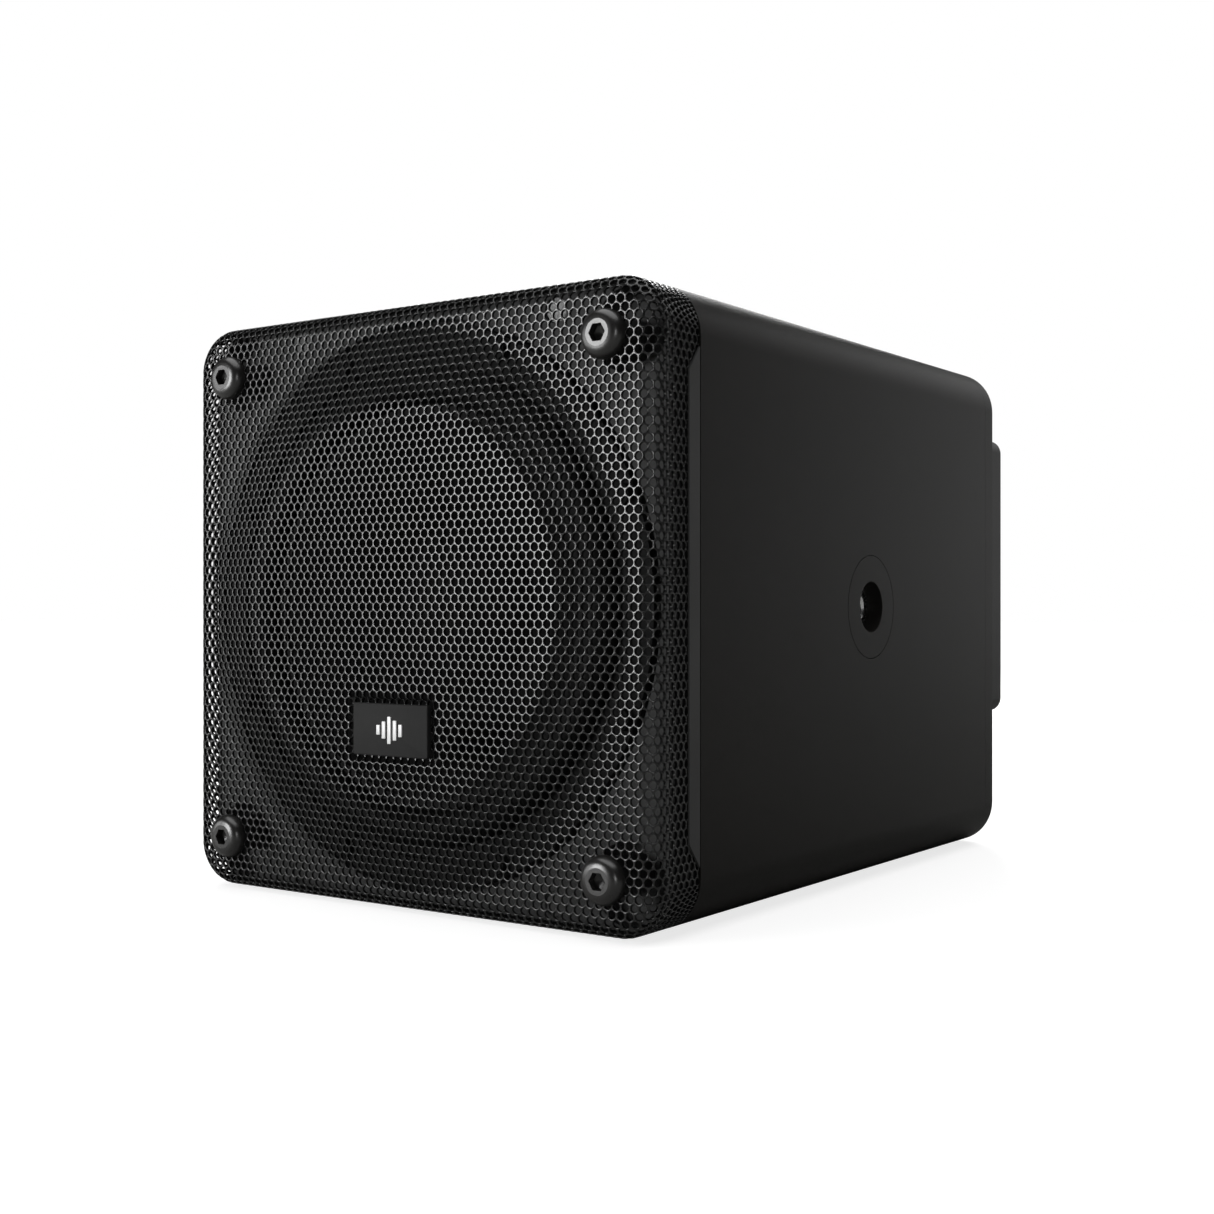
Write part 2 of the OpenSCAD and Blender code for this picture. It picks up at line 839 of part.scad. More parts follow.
module control_plate_screws() {
    color([0.12, 0.12, 0.12])
        at_plate_screws() translate([0, plate_back_y, 0]) rear_screw(3, 1.9, 1.5, 9, 2);
}

// The D-shaped sockets have screws on one diagonal and the mains inlet has ears.
module at_socket_screws() {
    for (x = [input_x, link_x], s = [-1, 1])
        translate([x + s * 9.5, 0, plate_z - s * 12]) children();
    for (s = [-1, 1])
        translate([inlet_x + s * 20, 0, plate_z]) children();
}

module socket_screws() {
    color([0.2, 0.2, 0.2]) {
        for (x = [input_x, link_x], s = [-1, 1])
            translate([x + s * 9.5, plate_back_y + socket_flange_t, plate_z - s * 12])
                rear_screw(2.5, 1.5, 1.3, 6, 1.8);
        for (s = [-1, 1])
            translate([inlet_x + s * 20, plate_back_y + inlet_flange_t, plate_z])
                rear_screw(2.5, 1.5, 1.3, 7, 1.8);
    }
}

module socket_flange(x) {
    difference() {
        union() {
            slab(plate_back_y, plate_back_y + socket_flange_t)
                translate([x, plate_z]) round_rect(26, 31, 2.5);
            translate([x, 0, plate_z]) bar(rear_face - 18, plate_back_y + eps, socket_r);
        }
        for (s = [-1, 1])
            translate([x + s * 9.5, 0, plate_z - s * 12])
                bar(plate_back_y - 1, plate_back_y + 5, 1.4);
    }
}

// Three-hole socket with a round slot for the plug's shell.
module input_socket() {
    face = plate_back_y + socket_flange_t;
    color([0.1, 0.1, 0.1])
    difference() {
        socket_flange(input_x);
        translate([input_x, 0, plate_z]) difference() {
            bar(face - 13, face + 1, 9.8);
            difference() {
                bar(face - 14, face - 0.6, 8.2);
                for (a = [90, 210, 330])
                    translate([3.6 * cos(a), 0, 3.6 * sin(a)]) bar(face - 12, face + 1, 1.4);
            }
        }
        translate([input_x - 4.4, plate_back_y - 1, plate_z + 12]) cube([8.8, 5, 2.4]);
    }
}

// Spring tab that releases the plug when it is pushed in.
module input_latch() {
    color([0.45, 0.45, 0.46])
    translate([input_x - 4, rear_face - 4, plate_z + 12.3])
        cube([8, plate_t + socket_flange_t + 6.6, 1.8]);
}

// Socket with three pins in a round cup.
module link_socket() {
    face = plate_back_y + socket_flange_t;
    color([0.1, 0.1, 0.1])
    difference() {
        socket_flange(link_x);
        translate([link_x, 0, plate_z]) bar(face - 13, face + 1, 9.8);
    }
    color([0.8, 0.75, 0.6])
    for (a = [90, 210, 330])
        translate([link_x + 3.6 * cos(a), 0, plate_z + 3.6 * sin(a)]) bar(face - 13 - eps, face - 2, 1.2);
}

module potentiometers() {
    color([0.6, 0.6, 0.6])
    for (x = [gain_x, crossover_x])
        translate([x, 0, plate_z]) difference() {
            union() {
                bar(rear_face - 12, rear_face, 8);
                bar(rear_face - eps, plate_back_y + 2.6, 4.2);
                translate([0, plate_back_y, 0]) rotate([-90, 0, 0]) cylinder(h = 2, r = 6, $fn = 6);
            }
            bar(rear_face - 10, plate_back_y + 4, bushing_bore_r);
        }
}

module knob_shaft(x) {
    translate([x, 0, plate_z]) bar(rear_face - 9.5, knob_back - 4, shaft_r);
}

// A knob with a thin skirt, finger flutes and a raised pointer line.
module knob(x) {
    flutes = 12;
    translate([x, 0, plate_z]) difference() {
        union() {
            bar(knob_front, knob_front + 2, knob_r + 0.8);
            bar(knob_front + 2 - eps, knob_back, knob_r - 1);
            translate([-0.7, knob_back - eps, 0]) cube([1.4, 0.6, knob_r - 1.6]);
        }
        for (a = [15:360 / flutes:360])
            translate([(knob_r - 0.4) * cos(a), 0, (knob_r - 0.4) * sin(a)])
                bar(knob_front + 3, knob_back + 2, 1.1);
        bar(knob_front - 1, knob_back - 4, shaft_r);
    }
}

module gain_shaft() color([0.7, 0.7, 0.7]) knob_shaft(gain_x);
module gain_knob() color([0.1, 0.1, 0.1]) knob(gain_x);
module crossover_shaft() color([0.7, 0.7, 0.7]) knob_shaft(crossover_x);
module crossover_knob() color([0.1, 0.1, 0.1]) knob(crossover_x);

module phase_switch_body() {
    color([0.6, 0.6, 0.6])
    difference() {
        translate([switch_x - 8, rear_face - 8, switch_z - 4]) cube([16, 8, 8]);
        translate([switch_x - 5, rear_face - 6, switch_z - 1.9]) cube([10, 7, 3.8]);
    }
}

// The lever stands at the left end of its slot.
module phase_switch_lever() {
    color([0.85, 0.85, 0.85])
    translate([switch_x - lever_travel / 2 - 2, rear_face - 5.5, switch_z - 1.6])
        cube([4, plate_t + 5.5 + 3, 3.2]);
}

module rocker_frame() {
    color([0.08, 0.08, 0.08])
    difference() {
        union() {
            slab(plate_back_y, plate_back_y + 1.8)
                translate([rocker_x, plate_z]) round_rect(15.4, 21.4, 1);
            slab(rear_face - 14, plate_back_y + eps)
                translate([rocker_x, plate_z]) square([13, 19], center = true);
        }
        slab(plate_back_y - 10.5, plate_back_y + 3)
            translate([rocker_x, plate_z]) square([10.8, 16.8], center = true);
    }
}

// The rocker's two faces meet in a shallow valley; it rests with its upper end pressed.
module power_rocker() {
    half_h = 7.7;
    half_w = 5.1;
    color([0.12, 0.12, 0.12])
    translate([rocker_x, rocker_pivot_y, plate_z]) rotate([rocker_tilt, 0, 0])
        translate([-half_w, 0, 0]) rotate([90, 0, 90]) linear_extrude(2 * half_w)
            polygon([
                [-3.5, -half_h + 2.2], [4.5, -half_h], [6.2, -half_h + 0.6],
                [5.1, 0],
                [6.2, half_h - 0.6], [4.5, half_h], [-3.5, half_h - 2.2]
            ]);
}

module mains_inlet() {
    color([0.09, 0.09, 0.09])
    difference() {
        union() {
            slab(plate_back_y, plate_back_y + inlet_flange_t)
                translate([inlet_x, plate_z]) round_rect(48, 24, 5);
            slab(rear_face - 16, plate_back_y + eps)
                translate([inlet_x, plate_z]) square([27.6, 20], center = true);
        }
        // Keyed cavity: two corners are cut off
        slab(rear_face - 12, plate_back_y + inlet_flange_t + 1)
            translate([inlet_x, plate_z])
                polygon([[-12, -8.3], [12, -8.3], [12, 4.3], [8, 8.3], [-8, 8.3], [-12, 4.3]]);
        for (s = [-1, 1])
            translate([inlet_x + s * 20, 0, plate_z])
                bar(plate_back_y - 1, plate_back_y + 5, 1.4);
    }
}

module mains_blades() {
    color([0.8, 0.8, 0.8])
    for (p = [[-blade_pitch, -2], [0, 2], [blade_pitch, -2]])
        translate([inlet_x + p[0] - 1, rear_face - 12, plate_z + p[1] - 2])
            cube([2, 13, 4]);
}

module status_led() {
    color([0.2, 0.8, 0.3])
    translate([switch_x, 0, led_z]) {
        bar(rear_face - 5, plate_back_y + 0.6, 2.5);
        translate([0, plate_back_y + 0.6, 0]) sphere(2.5);
    }
}

// ---- nodes ----

module placed() {
    translate([0, rim_y, 0]) children();
}

placed() cabinet_shell();
placed() front_baffle();
placed() rear_panel();
placed() cabinet_brace();
placed() damping_lining();
placed() side_insert_left();
placed() side_insert_right();
placed() threaded_bush_left();
placed() threaded_bush_right();
placed() grille();
placed() grille_screws();
placed() grille_spacers();
placed() screw_inserts();
placed() baffle_screws();
placed() badge_plate();
placed() badge_emblem();
placed() driver_basket();
placed() driver_gasket();
placed() driver_screws();
placed() surround();
placed() cone();
placed() dust_cap();
placed() voice_coil_former();
placed() voice_coil();
placed() spider();
placed() top_plate();
placed() ring_magnet();
placed() pole_yoke();
placed() magnet_cover();
placed() driver_terminals();
placed() speaker_wires();
placed() rear_panel_screws();
placed() heat_sink();
placed() sink_gasket();
placed() sink_screws();
placed() heat_spreader();
placed() amplifier_board();
placed() power_supply_board();
placed() board_standoffs();
placed() capacitors();
placed() power_transformer();
placed() output_coils();
placed() control_plate();
placed() control_plate_screws();
placed() input_socket();
placed() input_latch();
placed() link_socket();
placed() socket_screws();
placed() potentiometers();
placed() gain_shaft();
placed() gain_knob();
placed() crossover_shaft();
placed() crossover_knob();
placed() phase_switch_body();
placed() phase_switch_lever();
placed() rocker_frame();
placed() power_rocker();
placed() mains_inlet();
placed() mains_blades();
placed() status_led();
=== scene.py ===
"""Looks of the compact powered subwoofer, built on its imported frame."""
import json
import math

import bmesh
import bpy
import numpy as np
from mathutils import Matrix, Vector

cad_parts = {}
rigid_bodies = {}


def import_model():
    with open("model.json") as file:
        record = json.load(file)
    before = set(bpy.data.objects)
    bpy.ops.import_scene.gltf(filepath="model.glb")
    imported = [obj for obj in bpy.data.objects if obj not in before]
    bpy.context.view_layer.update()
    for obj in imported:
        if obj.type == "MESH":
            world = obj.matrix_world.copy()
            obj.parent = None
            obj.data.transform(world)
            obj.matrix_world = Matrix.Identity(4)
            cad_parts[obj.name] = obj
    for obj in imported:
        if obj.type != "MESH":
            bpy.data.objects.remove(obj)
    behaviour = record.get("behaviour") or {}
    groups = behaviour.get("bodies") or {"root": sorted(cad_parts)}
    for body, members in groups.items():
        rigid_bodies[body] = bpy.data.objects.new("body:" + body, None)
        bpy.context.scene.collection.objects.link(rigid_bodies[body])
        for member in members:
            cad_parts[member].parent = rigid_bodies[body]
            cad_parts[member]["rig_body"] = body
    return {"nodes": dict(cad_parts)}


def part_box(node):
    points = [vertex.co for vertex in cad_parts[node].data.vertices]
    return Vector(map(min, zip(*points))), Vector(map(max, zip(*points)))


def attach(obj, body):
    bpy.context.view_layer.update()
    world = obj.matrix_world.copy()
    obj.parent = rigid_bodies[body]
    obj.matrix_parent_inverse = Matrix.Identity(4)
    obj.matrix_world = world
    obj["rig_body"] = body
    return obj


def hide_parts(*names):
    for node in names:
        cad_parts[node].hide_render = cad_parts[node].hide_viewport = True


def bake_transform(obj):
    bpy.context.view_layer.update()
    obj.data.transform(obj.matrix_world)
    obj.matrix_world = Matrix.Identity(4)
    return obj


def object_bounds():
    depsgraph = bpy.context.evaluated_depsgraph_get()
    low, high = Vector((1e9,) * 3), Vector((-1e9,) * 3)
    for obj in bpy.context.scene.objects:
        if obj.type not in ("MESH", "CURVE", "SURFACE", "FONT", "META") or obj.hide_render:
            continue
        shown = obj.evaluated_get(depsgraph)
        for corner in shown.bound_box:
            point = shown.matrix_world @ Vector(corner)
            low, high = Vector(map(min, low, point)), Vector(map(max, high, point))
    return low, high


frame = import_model()
cad_low, cad_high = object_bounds()
NODES = frame["nodes"]
MM = 0.001
LOW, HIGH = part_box("grille")
RELIEF_RISE = 6.0  # how far the round middle of the grille stands out of its rim
RIM_Y = LOW[1] / MM + RELIEF_RISE
MID_Z = (LOW[2] + HIGH[2]) / 2 / MM
CORNER = 105.0  # half distance between the centres of the grille's round corners
SCREW = 101.75  # half pitch of the four grille screws
BADGE_W, BADGE_H, BADGE_Z = 40.6, 21.4, -50.0


# ---- mesh helpers; they take millimetres, with y counted from the grille's rim ----


def to_frame(points):
    """Millimetres about the rim plane and mid-height to metres in the shared frame."""
    points = np.asarray(points, float) + np.array([0.0, RIM_Y, MID_Z])
    return points * MM


def add_piece(name, points, faces, body="cabinet", smooth=True):
    mesh = bpy.data.meshes.new(name)
    mesh.from_pydata(to_frame(points).tolist(), [], faces)
    mesh.update()
    mesh.polygons.foreach_set("use_smooth", [smooth] * len(mesh.polygons))
    piece = bpy.data.objects.new(name, mesh)
    bpy.context.scene.collection.objects.link(piece)
    if body:
        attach(piece, body)
    return piece


def fix_normals(piece, sharp=None):
    """Makes the normals point out and keeps edges above the angle crisp."""
    work = bmesh.new()
    work.from_mesh(piece.data)
    bmesh.ops.recalc_face_normals(work, faces=work.faces)
    work.to_mesh(piece.data)
    work.free()
    if sharp:
        piece.data.set_sharp_from_angle(angle=math.radians(sharp))


def loft(rings, closed=False, caps=(True, True)):
    """Points and faces through equal rings; closed joins the last ring to the first."""
    count, sides = len(rings), len(rings[0])
    points = np.concatenate([np.asarray(r, float) for r in rings])
    faces = []
    for i in range(count if closed else count - 1):
        a, b = i * sides, (i + 1) % count * sides
        for j in range(sides):
            k = (j + 1) % sides
            faces.append((a + j, a + k, b + k, b + j))
    if not closed and caps[0]:
        faces.append(tuple(range(sides - 1, -1, -1)))
    if not closed and caps[1]:
        faces.append(tuple(range((count - 1) * sides, count * sides)))
    return points, faces


def circle(radius, y, sides=64, x=0.0, z=0.0):
    a = np.linspace(0, 2 * np.pi, sides, endpoint=False)
    return np.stack([x + radius * np.cos(a), np.full(sides, y), z + radius * np.sin(a)], 1)


def hexagon(apothem, y, sides=48, x=0.0, z=0.0):
    """A ring of points on a hexagon, with a corner at the right."""
    a = np.linspace(0, 2 * np.pi, sides, endpoint=False)
    off = np.mod(a, np.pi / 3) - np.pi / 6
    r = apothem / np.cos(off)
    return np.stack([x + r * np.cos(a), np.full(sides, y), z + r * np.sin(a)], 1)


def rounded_box_ring(w, h, r, y, x=0.0, z=0.0, steps=6):
    ring = []
    for cx, cz, start in ((1, 1, 0), (-1, 1, 90), (-1, -1, 180), (1, -1, 270)):
        for k in range(steps + 1):
            a = math.radians(start + 90 * k / steps)
            px = cx * (w / 2 - r) + r * math.cos(a)
            pz = cz * (h / 2 - r) + r * math.sin(a)
            ring.append((x + px, y, z + pz))
    return np.array(ring)


def merge(parts):
    points, faces, start = [], [], 0
    for p, f in parts:
        points.append(np.asarray(p, float))
        faces.extend(tuple(i + start for i in face) for face in f)
        start += len(p)
    return np.concatenate(points), faces


def turned(name, profile, body, sides=128, sharp=35):
    """A closed profile of (radius, y) turned about the driver's axis."""
    rings = [circle(max(r, 0.01), y, sides) for r, y in profile]
    piece = add_piece(name, *loft(rings, closed=True), body=body)
    fix_normals(piece, sharp)
    return piece


def softened(node, width, segments=2, angle=32, sharp=30):
    """A copy of a CAD node with rolled edges, which stands for the node."""
    source = NODES[node]
    mesh = bpy.data.meshes.new(node + "_look")
    work = bmesh.new()
    work.from_mesh(source.data)
    bmesh.ops.remove_doubles(work, verts=work.verts, dist=1e-6)
    bmesh.ops.dissolve_limit(
        work,
        angle_limit=math.radians(0.6),
        verts=work.verts,
        edges=work.edges,
    )
    edges = [e for e in work.edges if e.is_manifold and e.calc_face_angle(0) > math.radians(angle)]
    bmesh.ops.bevel(
        work,
        geom=edges,
        offset=width * MM,
        offset_type="OFFSET",
        segments=segments,
        profile=0.5,
        affect="EDGES",
        clamp_overlap=True,
    )
    bmesh.ops.triangulate(work, faces=[f for f in work.faces if len(f.verts) > 4])
    work.to_mesh(mesh)
    work.free()
    mesh.polygons.foreach_set("use_smooth", [True] * len(mesh.polygons))
    mesh.set_sharp_from_angle(angle=math.radians(sharp))
    piece = bpy.data.objects.new(node + "_look", mesh)
    bpy.context.scene.collection.objects.link(piece)
    even = piece.modifiers.new("even_normals", "WEIGHTED_NORMAL")
    even.weight = 100
    even.keep_sharp = True
    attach(piece, source["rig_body"])
    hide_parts(node)
    return piece


# ---- materials ----


class Finish:
    """One procedural material: two colours, two roughnesses and a bump, all from noise."""

    def __init__(self, name, dark, light, rough, patch=40.0, grain=900.0, bump=0.1, **sockets):
        self.material = bpy.data.materials.new(name)
        self.material.use_nodes = True
        self.nodes = self.material.node_tree.nodes
        self.links = self.material.node_tree.links
        self.shader = self.nodes["Principled BSDF"]
        self.place = self.nodes.new("ShaderNodeTexCoord").outputs["Object"]
        patches = self.noise(patch, 4.0)
        self.grain = self.noise(grain, 2.0)
        colour = self.ramp(patches, (*dark, 1), (*light, 1))
        self.links.new(colour, self.shader.inputs["Base Color"])
        low, high = rough
        spread = self.nodes.new("ShaderNodeMapRange")
        spread.inputs["From Min"].default_value = 0.3
        spread.inputs["From Max"].default_value = 0.7
        spread.inputs["To Min"].default_value = low
        spread.inputs["To Max"].default_value = high
        self.links.new(self.grain, spread.inputs["Value"])
        self.links.new(spread.outputs["Result"], self.shader.inputs["Roughness"])
        if bump:
            self.bump(self.grain, bump)
        for key, value in sockets.items():
            self.shader.inputs[key.replace("_", " ")].default_value = value

    def noise(self, scale, detail, stretch=(1, 1, 1)):
        move = self.nodes.new("ShaderNodeMapping")
        move.inputs["Scale"].default_value = stretch
        self.links.new(self.place, move.inputs["Vector"])
        noise = self.nodes.new("ShaderNodeTexNoise")
        noise.inputs["Scale"].default_value = scale
        noise.inputs["Detail"].default_value = detail
        self.links.new(move.outputs["Vector"], noise.inputs["Vector"])
        return noise.outputs["Fac"]

    def ramp(self, value, first, last, start=0.35, stop=0.65):
        ramp = self.nodes.new("ShaderNodeValToRGB")
        ramp.color_ramp.elements[0].position = start
        ramp.color_ramp.elements[1].position = stop
        ramp.color_ramp.elements[0].color = first
        ramp.color_ramp.elements[1].color = last
        self.links.new(value, ramp.inputs["Fac"])
        return ramp.outputs["Color"]

    def bump(self, height, strength, distance=0.0002):
        bump = self.nodes.new("ShaderNodeBump")
        bump.inputs["Strength"].default_value = strength
        bump.inputs["Distance"].default_value = distance
        self.links.new(height, bump.inputs["Height"])
        self.links.new(bump.outputs["Normal"], self.shader.inputs["Normal"])


def grey(value, warmth=0.0):
    return (value * (1 + warmth), value, value * (1 - warmth))


FINISHES = {
    "cabinet_paint": Finish(
        "cabinet_paint",
        grey(0.0060, 0.12),
        grey(0.0075, 0.12),
        (0.42, 0.54),
        9,
        2600,
        0.35,
        Specular_IOR_Level=0.12,
    ),
    "grille_paint": Finish("grille_paint", grey(0.006), grey(0.009), (0.16, 0.24), 30, 3200, 0.06),
    "baffle": Finish(
        "baffle", grey(0.044), grey(0.052), (0.55, 0.68), 25, 1800, 0.25, Specular_IOR_Level=0.3
    ),
    "black_steel": Finish(
        "black_steel",
        grey(0.007, 0.05),
        grey(0.010, 0.05),
        (0.27, 0.33),
        60,
        2500,
        0.05,
        Specular_IOR_Level=0.7,
    ),
    "steel": Finish("steel", grey(0.52), grey(0.62), (0.18, 0.32), 80, 1500, 0.05, Metallic=1.0),
    "badge": Finish(
        "badge", grey(0.014), grey(0.018), (0.55, 0.65), 50, 3000, 0.1, Specular_IOR_Level=0.1
    ),
    "emblem": Finish("emblem", grey(0.70), grey(0.80), (0.3, 0.4), 60, 2000, 0.05),
    "basket": Finish(
        "basket", grey(0.006), grey(0.010), (0.6, 0.75), 30, 900, 0.4, Specular_IOR_Level=0.15
    ),
    "rubber": Finish(
        "rubber", grey(0.003), grey(0.005), (0.55, 0.7), 30, 1400, 0.2, Specular_IOR_Level=0.15
    ),
    "paper_cone": Finish(
        "paper_cone", grey(0.003), grey(0.006), (0.7, 0.9), 60, 500, 0.8, Specular_IOR_Level=0.15
    ),
    "former": Finish("former", (0.35, 0.22, 0.07), (0.45, 0.30, 0.1), (0.35, 0.5), 60, 900, 0.1),
    "copper": Finish(
        "copper", (0.6, 0.22, 0.1), (0.75, 0.32, 0.15), (0.25, 0.4), 50, 900, 0.1, Metallic=1.0
    ),
    "spider_cloth": Finish(
        "spider_cloth", (0.45, 0.30, 0.1), (0.6, 0.42, 0.16), (0.8, 0.95), 60, 1400, 0.9
    ),
    "ferrite": Finish("ferrite", grey(0.035), grey(0.055), (0.5, 0.7), 50, 900, 0.3),
    "plated_iron": Finish(
        "plated_iron", (0.5, 0.5, 0.46), (0.62, 0.62, 0.56), (0.3, 0.45), 50, 900, 0.1, Metallic=1.0
    ),
    "brass": Finish(
        "brass", (0.62, 0.42, 0.14), (0.72, 0.5, 0.2), (0.25, 0.4), 50, 900, 0.1, Metallic=1.0
    ),
    "birch": Finish("birch", (0.42, 0.28, 0.13), (0.60, 0.43, 0.24), (0.55, 0.75), 60, 700, 0.4),
    "felt": Finish("felt", grey(0.38), grey(0.55), (0.9, 1.0), 90, 700, 1.0, Sheen_Weight=0.3),
    "wire": Finish("wire", (0.25, 0.01, 0.01), (0.35, 0.02, 0.02), (0.35, 0.5), 50, 900, 0.1),
    "sink_black": Finish(
        "sink_black",
        grey(0.008, 0.05),
        grey(0.011, 0.05),
        (0.42, 0.55),
        20,
        2200,
        0.25,
        Specular_IOR_Level=0.15,
    ),
    "bare_aluminium": Finish(
        "bare_aluminium", grey(0.6), grey(0.7), (0.3, 0.45), 50, 900, 0.1, Metallic=1.0
    ),
    "circuit_board": Finish(
        "circuit_board", (0.01, 0.09, 0.035), (0.02, 0.16, 0.06), (0.3, 0.45), 300, 900, 0.1
    ),
    "capacitor": Finish(
        "capacitor", (0.01, 0.012, 0.06), (0.015, 0.02, 0.1), (0.3, 0.4), 50, 900, 0.05
    ),
    "ferrite_core": Finish(
        "ferrite_core", (0.3, 0.12, 0.03), (0.45, 0.2, 0.06), (0.4, 0.6), 200, 900, 0.2
    ),
    "black_plastic": Finish("black_plastic", grey(0.012), grey(0.018), (0.40, 0.52), 40, 1600, 0.2),
    "white_plastic": Finish("white_plastic", grey(0.55), grey(0.65), (0.35, 0.5), 40, 1600, 0.1),
    "led": Finish(
        "led", (0.02, 0.35, 0.08), (0.04, 0.5, 0.12), (0.1, 0.2), 40, 900, 0.0, Transmission_Weight=0.3
    ),
}


def paint(piece, slot):
    piece.data.materials.clear()
    piece.data.materials.append(FINISHES[slot].material)
    return piece


SLOTS = {}
for node_name, node_object in NODES.items():
    SLOTS[node_name] = node_object.data.materials[0].name.split(".")[0]
    for material_slot in node_object.material_slots:
        material_slot.material = FINISHES[SLOTS[node_name]].material


# ---- perforated grille ----

PITCH = 3.96  # between holes in a row
ROW = 3.27  # between rows
HOLE = 1.62  # radius of a hole
SHEET = 1.2
HOLE_RIM = ((HOLE + 0.26, 0.0), (HOLE + 0.12, 0.05), (HOLE + 0.03, 0.16), (HOLE, 0.34), (HOLE, SHEET))
FLAT = 11.9  # from the corner centres out to the bend
BEND = 7.5
ARC = BEND * math.pi / 2
FLANGE_MIDDLE = 22.2  # depth of the flange in the middle of each side
FLANGE_CORNER = 30.3  # and at the corners
MIDDLE_HALF = 89.5  # half length of the shallower stretch
FLANGE_SLOPE = 9.1 / 11.8
RELIEF_R = 113.5
RELIEF_RUN = 31.0  # width of the slope round the relief
POCKET_EDGE = 2.0  # from the badge to the edge of its pocket
POCKET_DEPTH = 1.4
SCREW_SEAT = 7.2  # no holes this close to a screw
SMALLEST_FACE = 2e-3


def flange_edge(along):
    """Depth of the flange's back edge, shallower in the middle of each side."""
    slope = (np.abs(along) - MIDDLE_HALF) * FLANGE_SLOPE
    return np.clip(FLANGE_MIDDLE + slope, FLANGE_MIDDLE, FLANGE_CORNER)


def soft_step(t, k):
    """Rises from 0 to 1 while t does; a larger k rounds its two corners more."""
    return 0.5 * (np.sqrt(t * t + k) - np.sqrt((t - 1) ** 2 + k) + 1)


def pressed(flat, depth):
    """Bends flat sheet points over the corners and presses the relief into them."""
    u, v = flat[:, 0], flat[:, 1]
    au = np.maximum(np.abs(u) - CORNER, 0)
    av = np.maximum(np.abs(v) - CORNER, 0)
    run = np.hypot(au, av)
    safe = np.maximum(run, 1e-9)
    du, dv = au / safe, av / safe
    along = np.where(au > av, np.abs(v), np.abs(u))
    last = FLAT + ARC + flange_edge(along) - BEND
    run = np.minimum(run, last)
    turn = np.clip((run - FLAT) / BEND, 0, np.pi / 2)
    out = np.minimum(run, FLAT) + BEND * np.sin(turn) - depth * np.sin(turn)
    back = BEND * (1 - np.cos(turn)) + np.maximum(run - FLAT - ARC, 0) + depth * np.cos(turn)
    rise = RELIEF_RISE * soft_step((RELIEF_R - np.hypot(u, v)) / RELIEF_RUN, 0.0012)
    sink_u = soft_step(BADGE_W / 2 + POCKET_EDGE - np.abs(u) + 0.5, 0.02)
    sink_v = soft_step(BADGE_H / 2 + POCKET_EDGE - np.abs(v - BADGE_Z) + 0.5, 0.02)
    y = back - rise + POCKET_DEPTH * sink_u * sink_v
    x = np.sign(u) * (np.minimum(np.abs(u), CORNER) + du * out)
    z = np.sign(v) * (np.minimum(np.abs(v), CORNER) + dv * out)
    return np.stack([x, y, z], 1)


def hole_centres():
    """Centres of the holes on the sheet before it is bent, in staggered rows."""
    side = CORNER + FLAT + ARC + FLANGE_CORNER - BEND
    rows = int(side / ROW) + 2
    cols = int(side / PITCH) + 2
    j, i = np.mgrid[-rows : rows + 1, -cols : cols + 1]
    centres = np.stack([(i + 0.5 * (j % 2)) * PITCH, j * ROW], -1).reshape(-1, 2)
    au = np.maximum(np.abs(centres[:, 0]) - CORNER, 0)
    av = np.maximum(np.abs(centres[:, 1]) - CORNER, 0)
    along = np.where(au > av, np.abs(centres[:, 1]), np.abs(centres[:, 0]))
    reach = FLAT + ARC + flange_edge(along) - BEND
    keep = np.hypot(au, av) < reach + SHEET
    far = np.hypot(np.abs(centres[:, 0]) - SCREW, np.abs(centres[:, 1]) - SCREW)
    return centres[keep & (far > SCREW_SEAT)]


def hole_cell():
    """The six-sided cell of sheet round one hole: its corners and mid-edges."""
    half = PITCH / 2
    corner_z = (ROW**2 - half**2) / (2 * ROW)
    tip_z = (half**2 + ROW**2) / (2 * ROW)
    right = [(half, -corner_z), (half, corner_z), (0, tip_z)]
    left = [(-x, -z) for x, z in right]
    cell = np.array(right + left)
    return np.stack([cell, (cell + np.roll(cell, -1, 0)) / 2], 1).reshape(-1, 2)


